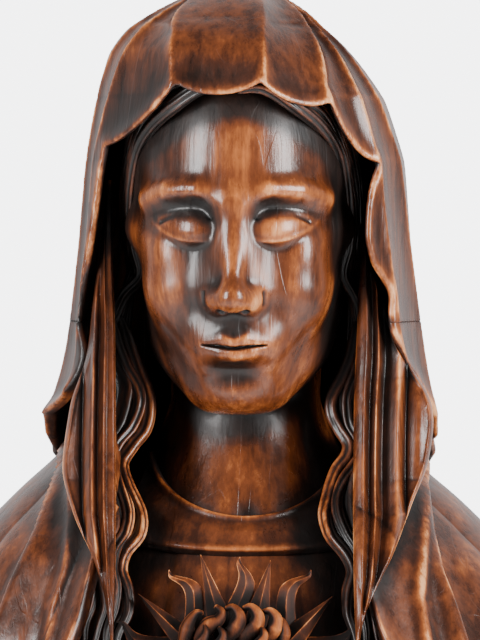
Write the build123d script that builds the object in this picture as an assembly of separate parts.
from build123d import *
import os
from math import cos, hypot, pi, radians, sin

# Carved wooden Madonna, built from glued, dowelled and screwed blocks on an octagonal plinth.
# Millimetres. +Z is up, the figure faces -Y, and +X is the figure's own left side.
# The origin is the centre of the plinth's underside. "left" and "right" are the figure's own.

# ---------------------------------------------------------------- driving dimensions
STATUE_HEIGHT = 1205.0

PLINTH_WIDTH = 400.0
PLINTH_DEPTH = 330.0
PLINTH_CORNER = 90.0          # how much of each corner the octagon cuts off
PLINTH_FOOT_HEIGHT = 42.0
PLINTH_TOP_HEIGHT = 33.0
PLINTH_STEP = 14.0            # the top slab is this much smaller all round
PLINTH_HEIGHT = PLINTH_FOOT_HEIGHT + PLINTH_TOP_HEIGHT

HOLLOW_HALF_WIDTH = 46.0      # the body block is hollowed from behind against cracking
HOLLOW_BOTTOM = 150.0
HOLLOW_TOP = 860.0
HOLLOW_FRONT_Y = -12.0
SIDE_JOINT_X = 72.0           # the upright glue joints between back board and mantle sides

HEAD_HEIGHT = 150.0           # chin to crown, with the head upright
HEAD_BOW = 12.0               # degrees, bowed forward
HEAD_TURN = 4.0               # degrees, turned a little to the figure's right
SKULL_BASE = (0.0, 2.0, 1077.5)
SKULL_BASE_ABOVE_CHIN = 33.5
SKULL_BASE_BEHIND = 14.5
NECK_RADIUS = 26.0
NECK_BOTTOM = (0.0, 5.0, 972.0)
NECK_TOP = (0.0, 7.0, 1066.0)

VEIL_JOINT_HEIGHT = 1068.0    # level glue joint round the veil, at chin height
VEIL_RECESS_BACK_Y = 6.0      # how far back the veil is opened beside the face
VEIL_BACK_JOINT_X = 44.0
VEIL_HEM_FRONT = (-30.0, 1020.0)   # y and z of the hem at the shoulders
VEIL_HEM_BACK = (100.0, 930.0)     # and behind

HEART_CENTRE = (-2.4, -84.0, 923.0)
HEART_RADIUS = 24.0
FLAMES_WIDTH = 36.0
FLAME_TONGUES = [(-14, 5, -2), (-7, 8, 1), (0, 10, 3), (7, 9, 5), (14, 6, 6)]   # x, height, lean
RAY_COUNT = 12
RAY_ROOT_RADIUS = 12.0
RAY_TIP_RADIUS = 53.0
RAY_WIDTH = 7.0
RAY_THICKNESS = 5.0
BURST_LEAN = 9.0              # degrees, the burst of rays leans back with the chest

ELBOW = (-146.0, -16.0, 790.0)
WRIST = (-103.0, -112.0, 848.0)
FINGERTIPS = (-45.0, -98.0, 941.0)
SLEEVE_RADIUS = 30.0
CUFF_RADIUS = 35.0
WRIST_RADIUS = 14.0

SHOE_X = 42.0
SHOE_Y = -112.0
SHOE_SIZE = (21.0, 34.0, 21.0)

# Level outlines, bottom to top: height, half width, half depth, centre y, fold depth.
FOLDS_END = 790.0             # above this height the cloth is smooth
GOWN_FOLDS = 11
GOWN_OUTLINES = [
    (PLINTH_HEIGHT, 148, 116, -4, 7.0),
    (200, 136, 106, -5, 7.0),
    (400, 120, 95, -6, 6.0),
    (600, 105, 86, -6, 4.5),
    (740, 92, 76, -5, 1.5),
    (FOLDS_END, 84, 70, -4, 0.0),
    (830, 82, 68, -4, 0.0),
    (880, 86, 71, -4, 0.0),
    (930, 88, 72, -3, 0.0),
    (955, 82, 64, 1, 0.0),
    (975, 72, 54, 4, 0.0),
    (992, 58, 45, 6, 0.0),
    (1008, 42, 38, 8, 0.0),
]
MANTLE_FOLDS = 10
MANTLE_OUTLINES = [
    (PLINTH_HEIGHT + 8, 178, 138, -4, 7.0),
    (250, 168, 130, -4, 7.0),
    (450, 160, 123, -4, 6.0),
    (650, 161, 117, -3, 4.5),
    (FOLDS_END, 168, 112, -2, 0.0),
    (880, 158, 104, -2, 0.0),
    (940, 140, 94, -1, 0.0),
    (978, 114, 82, 2, 0.0),
    (1000, 92, 71, 6, 0.0),
    (1018, 72, 60, 10, 0.0),
    (1034, 56, 50, 14, 0.0),
]
VEIL_OUTLINES = [
    (915, 102, 92, 8, 0.0),
    (980, 91, 87, 8, 0.0),
    (1019, 81, 82, 6, 0.0),
    (1040, 77.5, 80, 3, 0.0),
    (VEIL_JOINT_HEIGHT, 73.4, 78, 0, 0.0),
    (1099, 69.6, 76, -6, 0.0),
    (1134, 66, 72, -11, 0.0),
    (1159, 60, 66, -15, 0.0),
    (1178, 50.5, 57, -18, 0.0),
    (1188, 41, 47, -20, 0.0),
    (1195, 31, 37, -21, 0.0),
    (1200, 21.5, 26, -22, 0.0),
    (1203.4, 11, 14, -22, 0.0),
    (STATUE_HEIGHT, 3.5, 4.5, -22, 0.0),
]
# The same for the head, measured up from the chin with the head upright.
HEAD_OUTLINES = [
    (0, 12, 9, -31, 0.0),
    (8, 23, 21, -24, 0.0),
    (28, 34, 36, -12, 0.0),
    (52, 41, 47, -4, 0.0),
    (76, 45, 55, 2, 0.0),
    (100, 47, 58, 5, 0.0),
    (122, 41, 51, 6, 0.0),
    (138, 28, 36, 8, 0.0),
    (146, 16, 21, 8, 0.0),
    (HEAD_HEIGHT, 5, 6, 8, 0.0),
]
# Half width of the mantle's front opening at each height.
MANTLE_OPENING = [(70, 78), (400, 70), (600, 74), (700, 87), (750, 101), (800, 112),
                  (850, 106), (900, 86), (950, 62), (1000, 50), (1040, 46)]
# The veil's front edge from x and z: up the right side, the ridge peaks across the brow,
# and down the left side.
VEIL_EDGE_RIGHT = [(-82, 1000), (-77, 1022), (-67, 1043), (-64, 1060), (-62, 1093), (-58, 1122), (-55, 1137)]
VEIL_EDGE_PEAKS = [(-55, 1137), (-24, 1162), (6, 1162), (29, 1155), (48, 1132)]
VEIL_EDGE_LEFT = [(48, 1132), (49, 1118), (50, 1097), (57, 1073), (66, 1049), (74, 1033), (80, 1000)]
VEIL_EDGE_SAG = 3.5           # how far the edge hangs between two ridge peaks
# The hanging front folds of the veil: height, outer x, inner x.
LAPPET_RIGHT = [(1105, -66, -53), (1077, -68, -53.5), (1037, -70, -51.6), (1005, -73, -51),
                (989, -70, -51), (973, -62, -51), (957, -57, -52), (941, -55, -53)]
LAPPET_LEFT = [(1100, 58, 45), (1077, 63, 45), (1037, 68, 43.6), (1005, 69, 43),
               (989, 65, 43), (973, 56, 43), (957, 48, 43.5), (941, 45, 43)]
LAPPET_TOP_Y = 4.0
LAPPET_BOTTOM_Y = -62.0
LAPPET_THICKNESS = 26.0
# Centre lines of the two hair locks, top to bottom.
HAIR_RADIUS = 7.0
HAIR_RIGHT = [(-50, -22, 1080), (-40, -27, 1043), (-38, -28, 1024), (-47, -34, 1010), (-50, -44, 998),
              (-42, -56, 985), (-42, -66, 966)]
HAIR_LEFT = [(44, -22, 1080), (35, -27, 1043), (35, -28, 1024), (42, -34, 1012), (40, -46, 1000),
             (33, -56, 987), (38, -66, 966)]

POINTS_PER_FOLD = 4
PLAIN_POINTS = 24
FINE_STEPS = 400
FOLD_SPACING = 175.0
PLAIN_SPACING = 15.0
DRAPE_SPACING = 36.0


# ---------------------------------------------------------------- helpers
def level_outline(height, half_width, half_depth, centre_y, fold_depth, folds):
    """A closed level outline: an ellipse that can swell into rounded upright folds."""
    count = folds * POINTS_PER_FOLD if folds else PLAIN_POINTS
    points = []
    for step in range(count):
        angle = 2 * pi * step / count
        swell = fold_depth * cos(folds * angle)
        x = (half_width + swell) * sin(angle)
        y = centre_y - (half_depth + swell) * cos(angle)
        points.append((x, y, height))
    return Wire([Spline(*points, periodic=True).edge()])


def row_at(outlines, height):
    """The outline at any height, eased smoothly between the given ones."""
    last = len(outlines) - 2
    index = max(i for i in range(last + 1) if i == 0 or outlines[i][0] <= height)
    before, lower = outlines[max(index - 1, 0)], outlines[index]
    upper, after = outlines[index + 1], outlines[min(index + 2, last + 1)]
    span = upper[0] - lower[0]
    share = (height - lower[0]) / span
    row = [height]
    for a, b, c, d in list(zip(before, lower, upper, after))[1:]:
        slope_in = span * (c - a) / (upper[0] - before[0])
        slope_out = span * (d - b) / (after[0] - lower[0])
        bend_in = slope_in - (c - b)
        bend_out = (c - b) - slope_out
        row.append(b + (c - b) * share + share * (1 - share) * (bend_in * (1 - share) + bend_out * share))
    return row


def stacked_body(outlines, folds=0, spacing=PLAIN_SPACING):
    """A solid through a stack of level outlines, resampled evenly along the side of the body."""
    bottom, top = outlines[0][0], outlines[-1][0]
    rows = [row_at(outlines, bottom + (top - bottom) * step / FINE_STEPS) for step in range(FINE_STEPS + 1)]
    travelled = [0.0]
    for lower, upper in zip(rows, rows[1:]):
        travelled.append(travelled[-1] + hypot(upper[0] - lower[0], upper[1] - lower[1]))
    count = max(2, round(travelled[-1] / spacing))
    chosen = [rows[0]]
    for step in range(1, count):
        goal = travelled[-1] * step / count
        chosen.append(next(row for row, way in zip(rows, travelled) if way >= goal))
    return Solid.make_loft([level_outline(*row, folds=folds) for row in chosen + [rows[-1]]])


def draped_body(outlines, folds):
    """Cloth from hem to neck: folded below the waist, smooth above it."""
    skirt = [row for row in outlines if row[0] <= FOLDS_END]
    bodice = [row for row in outlines if row[0] >= FOLDS_END]
    return stacked_body(skirt, folds, FOLD_SPACING) + stacked_body(bodice, folds, DRAPE_SPACING)


def block(low, high):
    """A box between two corners."""
    size = [b - a for a, b in zip(low, high)]
    return Pos(*low) * Box(*size, align=(Align.MIN, Align.MIN, Align.MIN))


def octagon_slab(width, depth, corner, bottom, height):
    """A slab with eight sides."""
    x, y = width / 2, depth / 2
    points = [(x, y - corner), (x - corner, y), (corner - x, y), (-x, y - corner),
              (-x, corner - y), (corner - x, -y), (x - corner, -y), (x, corner - y)]
    return Pos(0, 0, bottom) * extrude(make_face(Polyline(*points, close=True)), amount=height)


def rod(start, end, radius, end_radius=None):
    """A round rod, or a taper, from one point to another."""
    axis = Vector(*end) - Vector(*start)
    plane = Plane(origin=start, z_dir=axis.normalized())
    stand = (Align.CENTER, Align.CENTER, Align.MIN)
    if end_radius is None:
        return plane * Cylinder(radius, axis.length, align=stand)
    return plane * Cone(radius, end_radius, axis.length, align=stand)


def egg(centre, half_sizes):
    """An ellipsoid."""
    return Pos(*centre) * scale(Sphere(1), by=half_sizes)


def mirrored(shape):
    """The same shape on the figure's other side."""
    return mirror(shape, about=Plane.YZ)


def group(shapes):
    """Several separate solids kept together as one node."""
    return Compound(children=[solid for shape in shapes for solid in shape.solids()])


def largest(shape):
    """The main solid of a cut, without crumbs."""
    return max(shape.solids(), key=lambda solid: solid.volume)


def front_plane(y):
    """An upright plane seen from the front: its first axis is X and its second is Z."""
    return Plane(origin=(0, y, 0), x_dir=(1, 0, 0), z_dir=(0, -1, 0))


# ---------------------------------------------------------------- plinth and fixings
def plinth_screws():
    """Four countersunk wood screws that hold the two slabs together from below."""
    screws = []
    for x in (-140, 140):
        for y in (-95, 95):
            shank = rod((x, y, 4), (x, y, PLINTH_HEIGHT - 11), 2.5)
            head = rod((x, y, 1), (x, y, 4), 5.5, 2.5)
            screws.append(shank + head)
    return group(screws)


def figure_bolts():
    """Two coach screws from the plinth's top slab up into the body block."""
    bolts = []
    for x in (-60, 60):
        base = Pos(x, 10, PLINTH_FOOT_HEIGHT + 0.5)
        head = base * extrude(RegularPolygon(7.5, 6), amount=6)
        bolts.append(head + rod((x, 10, PLINTH_FOOT_HEIGHT + 6), (x, 10, PLINTH_HEIGHT + 45), 4))
    return group(bolts)


def body_dowels():
    """Two thick dowels that keep the figure from turning on its plinth."""
    return group([rod((0, y, PLINTH_FOOT_HEIGHT + 8), (0, y, PLINTH_HEIGHT + 28), 9) for y in (-70, 50)])


def plinth_foot():
    """The wide lower slab of the plinth, with a long bevel round its upper edge."""
    slab = octagon_slab(PLINTH_WIDTH, PLINTH_DEPTH, PLINTH_CORNER, 0, PLINTH_FOOT_HEIGHT)
    rim = slab.faces().sort_by(Axis.Z)[-1].edges()
    return chamfer(rim, length=PLINTH_STEP - 2) - PLINTH_SCREWS


def plinth_top():
    """The upper slab that the figure stands on, with a rounded rim."""
    slab = octagon_slab(PLINTH_WIDTH - 2 * PLINTH_STEP, PLINTH_DEPTH - 2 * PLINTH_STEP,
                        PLINTH_CORNER - PLINTH_STEP / 2, PLINTH_FOOT_HEIGHT, PLINTH_TOP_HEIGHT)
    rim = slab.faces().sort_by(Axis.Z)[-1].edges()
    return fillet(rim, 8) - PLINTH_SCREWS - FIGURE_BOLTS - BODY_DOWELS


# ---------------------------------------------------------------- head
def head_place():
    """Where the upright head moves to: bowed and turned about the base of the skull."""
    bow_and_turn = Rotation(0, 0, -HEAD_TURN) * Rotation(HEAD_BOW, 0, 0)
    return Pos(*SKULL_BASE) * bow_and_turn * Pos(0, -SKULL_BASE_BEHIND, -SKULL_BASE_ABOVE_CHIN)


def head_and_neck():
    """The head with a plain nose, the neck, and the round tenon that sets it in the body."""
    skull = head_place() * stacked_body(HEAD_OUTLINES)
    bridge = Pos(0, -49, 0.56 * HEAD_HEIGHT) * Ellipse(4, 5)
    nostrils = Pos(0, -49, 0.32 * HEAD_HEIGHT) * Ellipse(9, 15)
    nose = head_place() * loft([nostrils, bridge])
    neck = rod(NECK_BOTTOM, NECK_TOP, NECK_RADIUS)
    tenon = rod((0, 5, 940), (0, 5, 974), 17)
    return skull + nose + neck + tenon - NECK_DOWEL


# ---------------------------------------------------------------- gown and mantle
def gown_block():
    """The main block: the gown from hem to neckline, hollowed from behind."""
    hollow = block((-HOLLOW_HALF_WIDTH, HOLLOW_FRONT_Y, HOLLOW_BOTTOM), (HOLLOW_HALF_WIDTH, 160, HOLLOW_TOP))
    return GOWN - hollow - HEAD - NECK_DOWEL - HEART_DOWEL - FIGURE_BOLTS - BODY_DOWELS - BACK_BOARD_SCREWS


def mantle_opening():
    """The tall front opening of the mantle, as a prism to cut away."""
    right = Spline(*[(-half, height) for height, half in MANTLE_OPENING]).edge()
    left = Spline(*[(half, height) for height, half in MANTLE_OPENING]).edge()
    bottom = Line(right @ 0, left @ 0).edge()
    top = Line(right @ 1, left @ 1).edge()
    return extrude(front_plane(-2) * make_face(Wire([right, top, left, bottom])), amount=300)


def back_board_screws():
    """Six countersunk screws from behind, through the back board into the body block."""
    screws = []
    for x in (-58, 58):
        for z in (200, 500, 800):
            outer_y = back_surface_y(z) - 3
            shank = rod((x, outer_y - 4, z), (x, outer_y - 60, z), 2.5)
            screws.append(shank + rod((x, outer_y, z), (x, outer_y - 4, z), 5.5, 2.5))
    return group(screws)


def back_surface_y(height):
    """The y of the mantle's back face near its middle, where the board screws sit."""
    lower, upper = [pair for pair in zip(MANTLE_OUTLINES, MANTLE_OUTLINES[1:])
                    if pair[0][0] <= height <= pair[1][0]][0]
    share = (height - lower[0]) / (upper[0] - lower[0])
    half_depth = lower[2] + (upper[2] - lower[2]) * share
    return half_depth * 0.9 - 10


def mantle_parts():
    """The mantle as three blocks: the back board and the two sides."""
    cloth = MANTLE_BODY - GOWN - mantle_opening() - HEAD
    cloth = cloth - SLEEVE_HOLES - BACK_BOARD_SCREWS
    board_space = block((-SIDE_JOINT_X, 0, 0), (SIDE_JOINT_X, 200, STATUE_HEIGHT))
    sides = cloth - board_space
    left = sides & block((0, -200, 0), (260, 200, STATUE_HEIGHT))
    right = sides & block((-260, -200, 0), (0, 200, STATUE_HEIGHT))
    return largest(cloth & board_space), largest(left), largest(right)


# ---------------------------------------------------------------- veil
def veil_recess():
    """The space round the face, edged by the veil's scalloped front edge."""
    edges = [Spline(*VEIL_EDGE_RIGHT).edge()]
    for start, end in zip(VEIL_EDGE_PEAKS, VEIL_EDGE_PEAKS[1:]):
        middle = ((start[0] + end[0]) / 2, (start[1] + end[1]) / 2 - VEIL_EDGE_SAG)
        edges.append(ThreePointArc(start, middle, end).edge())
    edges.append(Spline(*VEIL_EDGE_LEFT).edge())
    edges.append(Line(VEIL_EDGE_LEFT[-1], VEIL_EDGE_RIGHT[0]).edge())
    return extrude(front_plane(VEIL_RECESS_BACK_Y) * make_face(Wire(edges)), amount=300)


def below_hem():
    """Everything under the slanting hem of the veil."""
    low = 700
    points = [(VEIL_HEM_FRONT[0] - 100, VEIL_HEM_FRONT[1] + 5), VEIL_HEM_FRONT, VEIL_HEM_BACK,
              (VEIL_HEM_BACK[0] + 100, VEIL_HEM_BACK[1] - 60), (VEIL_HEM_BACK[0] + 100, low),
              (VEIL_HEM_FRONT[0] - 100, low)]
    side = Plane(origin=(-300, 0, 0), x_dir=(0, 1, 0), z_dir=(1, 0, 0))
    return extrude(side * make_face(Polyline(*points, close=True)), amount=600)


def veil_parts():
    """The veil as four blocks: the crown, two sides and the back fall."""
    cloth = stacked_body(VEIL_OUTLINES) - veil_recess() - below_hem()
    cloth = cloth - MANTLE_BODY - GOWN - HEAD
    above = block((-200, -200, VEIL_JOINT_HEIGHT), (200, 200, STATUE_HEIGHT + 10))
    middle = block((-VEIL_BACK_JOINT_X, -200, 0), (VEIL_BACK_JOINT_X, 200, VEIL_JOINT_HEIGHT))
    fall = cloth - above
    sides = fall - middle
    left = sides & block((0, -200, 0), (260, 200, STATUE_HEIGHT))
    right = sides & block((-260, -200, 0), (0, 200, STATUE_HEIGHT))
    return largest(cloth & above), largest(left), largest(right), largest(fall & middle)


def lappet(rows):
    """A hanging front fold of the veil, cut to lie on the shoulder and chest."""
    outer = Spline(*[(row[1], row[0]) for row in rows]).edge()
    inner = Spline(*[(row[2], row[0]) for row in rows]).edge()
    top = Line(outer @ 0, inner @ 0).edge()
    foot = Line(outer @ 1, inner @ 1).edge()
    outline = make_face(Wire([outer, top, inner, foot]))
    drop = rows[0][0] - rows[-1][0]
    lean = Vector(0, LAPPET_BOTTOM_Y - LAPPET_TOP_Y, -drop).normalized()
    top_point = Vector(0, LAPPET_TOP_Y, rows[0][0])
    leaning = Plane(origin=top_point, x_dir=(1, 0, 0), z_dir=Vector(1, 0, 0).cross(-lean))
    strip = extrude(leaning * (Pos(0, -rows[0][0]) * outline), amount=LAPPET_THICKNESS, both=False)
    return largest(strip - group(VEIL) - MANTLE_LEFT - MANTLE_RIGHT - GOWN - HEAD)


# ---------------------------------------------------------------- hair and neckband
def hair_lock(points):
    """A waving lock of hair beside the neck."""
    path = Spline(*points)
    section = Plane(origin=path @ 0, z_dir=path % 0) * Circle(HAIR_RADIUS)
    lock = sweep(section, path=path) + Pos(*points[-1]) * Sphere(HAIR_RADIUS)
    lock = lock - group(VEIL) - group(FRONT_FOLDS) - HEAD - NECKBAND
    return largest(lock - GOWN - MANTLE_LEFT - MANTLE_RIGHT)


def neckband():
    """The broad tilted band round the neckline, front half only."""
    tilt = Plane(origin=(0, 2.2, 1007.5), x_dir=(1, 0, 0), z_dir=(0, -sin(radians(32)), cos(radians(32))))
    ring = extrude(Ellipse(43, 55), amount=9.5, both=True) - extrude(Ellipse(36, 46), amount=9.5, both=True)
    ring = tilt * ring
    front = block((-80, -120, 900), (80, 4, 1060))
    return largest((ring & front) - GOWN - HEAD - group(VEIL) - MANTLE_LEFT - MANTLE_RIGHT)


# ---------------------------------------------------------------- heart and rays
def burst_plane(forward):
    """The leaning plane of the burst, brought forward by the given distance."""
    lean = radians(BURST_LEAN)
    normal = Vector(0, -cos(lean), sin(lean))
    return Plane(origin=Vector(*HEART_CENTRE) + normal * forward, x_dir=(1, 0, 0), z_dir=normal)


def heart_outline(size):
    """A closed heart shape, point down."""
    right = Spline((0, 0.62 * size), (0.50 * size, 0.92 * size), (0.94 * size, 0.42 * size), (0, -size),
                   tangents=[(0.3, 1), (-1, -1)]).edge()
    left = Spline((0, 0.62 * size), (-0.50 * size, 0.92 * size), (-0.94 * size, 0.42 * size), (0, -size),
                  tangents=[(-0.3, 1), (1, -1)]).edge()
    return Wire([right, left])


def heart():
    """The domed heart in the middle of the burst."""
    layers = [(0, 0.86), (4, 1.0), (9, 0.90), (13, 0.62), (15, 0.3)]
    wires = [burst_plane(forward) * heart_outline(HEART_RADIUS * share) for forward, share in layers]
    return Solid.make_loft(wires) - HEART_DOWEL


def flames():
    """Five curling tongues of flame in one row along the top of the heart."""
    low, high = 0.5 * HEART_RADIUS, 1.08 * HEART_RADIUS
    bed = Pos(0, (low + high) / 2) * Rectangle(FLAMES_WIDTH, high - low)
    body = burst_plane(0.5) * extrude(bed, amount=6)
    for x, height, lean in FLAME_TONGUES:
        tip = (x + lean, high + height)
        outline = Wire([
            ThreePointArc((x - 5, low), (x + lean / 2 - 5.5, high + height / 3), tip).edge(),
            ThreePointArc(tip, (x + lean / 2 + 1.5, high + height / 4), (x + 5, low)).edge(),
            Line((x + 5, low), (x - 5, low)).edge(),
        ])
        body = body + burst_plane(0.5) * extrude(make_face(outline), amount=8)
    return largest(body - HEART)


def straight_ray(angle):
    """One straight ray: a long faceted blade that ends in a point."""
    half = RAY_WIDTH / 2
    root = [(RAY_ROOT_RADIUS, -half, 0), (RAY_ROOT_RADIUS, half, 0)]
    ridge_root = (RAY_ROOT_RADIUS, 0, RAY_THICKNESS)
    shoulder = [(RAY_TIP_RADIUS * 0.82, -half, 0), (RAY_TIP_RADIUS * 0.82, half, 0)]
    ridge_shoulder = (RAY_TIP_RADIUS * 0.82, 0, RAY_THICKNESS)
    tip = (RAY_TIP_RADIUS, 0, 0.5)
    faces = [
        (root[0], shoulder[0], ridge_shoulder, ridge_root), (ridge_root, ridge_shoulder, shoulder[1], root[1]),
        (shoulder[0], tip, ridge_shoulder), (ridge_shoulder, tip, shoulder[1]),
        (root[0], ridge_root, root[1]), (root[1], shoulder[1], shoulder[0], root[0]),
        (shoulder[0], shoulder[1], tip),
    ]
    shell = Shell([Face(Wire.make_polygon([Vector(*p) for p in corners])) for corners in faces])
    return Rotation(0, 0, angle) * Solid(shell)


def wavy_ray(angle):
    """One waving ray: a flame-shaped blade that snakes out to a point."""
    half = RAY_WIDTH / 2
    length = RAY_TIP_RADIUS - RAY_ROOT_RADIUS
    upper, lower = [], []
    for step in range(13):
        share = step / 12
        sway = 2.4 * sin(2 * pi * 1.6 * share)
        width = half * (1 - share ** 3)
        upper.append((RAY_ROOT_RADIUS + length * share, sway + width))
        lower.append((RAY_ROOT_RADIUS + length * share, sway - width))
    tip = upper[-1]
    lower[-1] = tip
    outline = Wire([Spline(*upper).edge(), Spline(*lower).edge(), Line(upper[0], lower[0]).edge()])
    return Rotation(0, 0, angle) * extrude(make_face(outline), amount=RAY_THICKNESS - 1)


def burst(ray, first_angle, back, thickness):
    """A ring of rays on a round hub."""
    hub = extrude(Circle(RAY_ROOT_RADIUS + 5), amount=thickness)
    body = hub
    for number in range(RAY_COUNT):
        body = body + ray(first_angle + number * 360 / RAY_COUNT)
    return burst_plane(back) * body


# ---------------------------------------------------------------- arms and feet
def sleeve_hole():
    """The whole forearm inside its wide sleeve, right arm, as a solid to cut with."""
    return rod(ELBOW, WRIST, SLEEVE_RADIUS, CUFF_RADIUS) + Pos(*ELBOW) * Sphere(SLEEVE_RADIUS)


def sleeve():
    """The right forearm's wide sleeve with an open cuff."""
    direction = (Vector(*WRIST) - Vector(*ELBOW)).normalized()
    inside = Vector(*WRIST) - direction * 34
    beyond = Vector(*WRIST) + direction * 1
    return largest(sleeve_hole() - rod(inside, beyond, 14, CUFF_RADIUS - 7) - GOWN)


def hand_plane():
    """The right hand's own frame: z runs out along the fingers, x across the palm to the thumb."""
    along = (Vector(*FINGERTIPS) - Vector(*WRIST)).normalized()
    palm = Vector(1.0, 0.55, 0.0)
    across = palm.cross(along).normalized()
    return Plane(origin=WRIST, x_dir=across, z_dir=along)


def hand():
    """The right hand: wrist, palm, four fingers held together, and the thumb."""
    reach = (Vector(*FINGERTIPS) - Vector(*WRIST)).length
    palm = loft([
        Pos(0, 0, -6) * Ellipse(12, 10), Pos(0, 0, 14) * Ellipse(14, 9),
        Pos(0, 0, 34) * Ellipse(18, 8), Pos(0, 0, 0.52 * reach) * Ellipse(18, 7),
    ])
    body = palm
    for x, tip_x, tip_z in ((-13, -9, 0.86), (-4.5, -3, 0.97), (4.5, 3.5, 1.0), (12.5, 9.5, 0.93)):
        knuckle = (x, 0, 0.48 * reach)
        tip = (tip_x, 0.5, tip_z * reach - 4)
        body = body + rod(knuckle, tip, 5.4, 4) + Pos(*tip) * Sphere(4) + Pos(*knuckle) * Sphere(5.4)
    thumb_root, thumb_tip = (12, 4, 0.2 * reach), (20, 7, 0.62 * reach)
    body = body + rod(thumb_root, thumb_tip, 6.5, 4.5) + Pos(*thumb_tip) * Sphere(4.5)
    body = body + Pos(*thumb_root) * Sphere(6.5)
    body = body + rod((0, 0, -38), (0, 0, 0), WRIST_RADIUS - 1.5, 10.5)
    return largest(hand_plane() * body - SLEEVE_RIGHT - GOWN - WRIST_DOWEL)


def wrist_dowel():
    """The dowel that pins the right hand into its sleeve."""
    direction = (Vector(*WRIST) - Vector(*ELBOW)).normalized()
    along = (Vector(*FINGERTIPS) - Vector(*WRIST)).normalized()
    return rod(Vector(*WRIST) - direction * 58, Vector(*WRIST) - along * 12, 3)


def shoe():
    """The toe of the right shoe, showing under the hem."""
    above_plinth = block((-200, -200, PLINTH_HEIGHT), (200, 200, PLINTH_HEIGHT + 60))
    return largest((egg((-SHOE_X, SHOE_Y, PLINTH_HEIGHT), SHOE_SIZE) & above_plinth) - GOWN)


# ---------------------------------------------------------------- assembly
PLINTH_SCREWS = plinth_screws()
FIGURE_BOLTS = figure_bolts()
BODY_DOWELS = body_dowels()
NECK_DOWEL = rod((0, 5, 905), (0, 5, 962), 6)
HEART_DOWEL = rod((HEART_CENTRE[0], -90, HEART_CENTRE[2]), (HEART_CENTRE[0], -44, HEART_CENTRE[2]), 4)
BACK_BOARD_SCREWS = back_board_screws()

HEAD = head_and_neck()
GOWN = draped_body(GOWN_OUTLINES, GOWN_FOLDS)
MANTLE_BODY = draped_body(MANTLE_OUTLINES, MANTLE_FOLDS)
SLEEVE_HOLES = group([sleeve_hole(), mirrored(sleeve_hole())])
BACK_BOARD, MANTLE_LEFT, MANTLE_RIGHT = mantle_parts()
VEIL = veil_parts()
NECKBAND = neckband()
FRONT_FOLDS = (lappet(LAPPET_LEFT), lappet(LAPPET_RIGHT))
WRIST_DOWEL = wrist_dowel()
SLEEVE_RIGHT = sleeve() - WRIST_DOWEL
HAND_RIGHT = hand()
SHOE_RIGHT = shoe()
HEART = heart()
FLAMES = flames()
BURST_CUT = group([HEART, HEART_DOWEL, FLAMES])

NODES = {
    "plinth_foot": plinth_foot(),
    "plinth_top": plinth_top(),
    "plinth_screws": PLINTH_SCREWS,
    "figure_bolts": FIGURE_BOLTS,
    "body_dowels": BODY_DOWELS,
    "gown_block": gown_block(),
    "mantle_back_board": BACK_BOARD,
    "back_board_screws": BACK_BOARD_SCREWS,
    "mantle_left": MANTLE_LEFT,
    "mantle_right": MANTLE_RIGHT,
    "head": HEAD,
    "neck_dowel": NECK_DOWEL,
    "neckband": NECKBAND,
    "veil_crown": VEIL[0],
    "veil_fall_left": VEIL[1],
    "veil_fall_right": VEIL[2],
    "veil_fall_back": VEIL[3],
    "veil_lappet_left": FRONT_FOLDS[0],
    "veil_lappet_right": FRONT_FOLDS[1],
    "hair_left": hair_lock(HAIR_LEFT),
    "hair_right": hair_lock(HAIR_RIGHT),
    "heart": HEART,
    "heart_flames": FLAMES,
    "heart_dowel": HEART_DOWEL,
    "straight_rays": burst(straight_ray, 75, -3, 3) - BURST_CUT - GOWN,
    "wavy_rays": burst(wavy_ray, 90, -7, 4) - BURST_CUT - GOWN,
    "sleeve_right": SLEEVE_RIGHT,
    "sleeve_left": mirrored(SLEEVE_RIGHT) - GOWN,
    "hand_right": HAND_RIGHT,
    "hand_left": mirrored(HAND_RIGHT),
    "wrist_dowels": group([WRIST_DOWEL, mirrored(WRIST_DOWEL)]),
    "shoe_right": SHOE_RIGHT,
    "shoe_left": mirrored(SHOE_RIGHT) - GOWN,
}

os.makedirs("parts", exist_ok=True)
for name, shape in NODES.items():
    export_step(shape, f"parts/{name}.step")
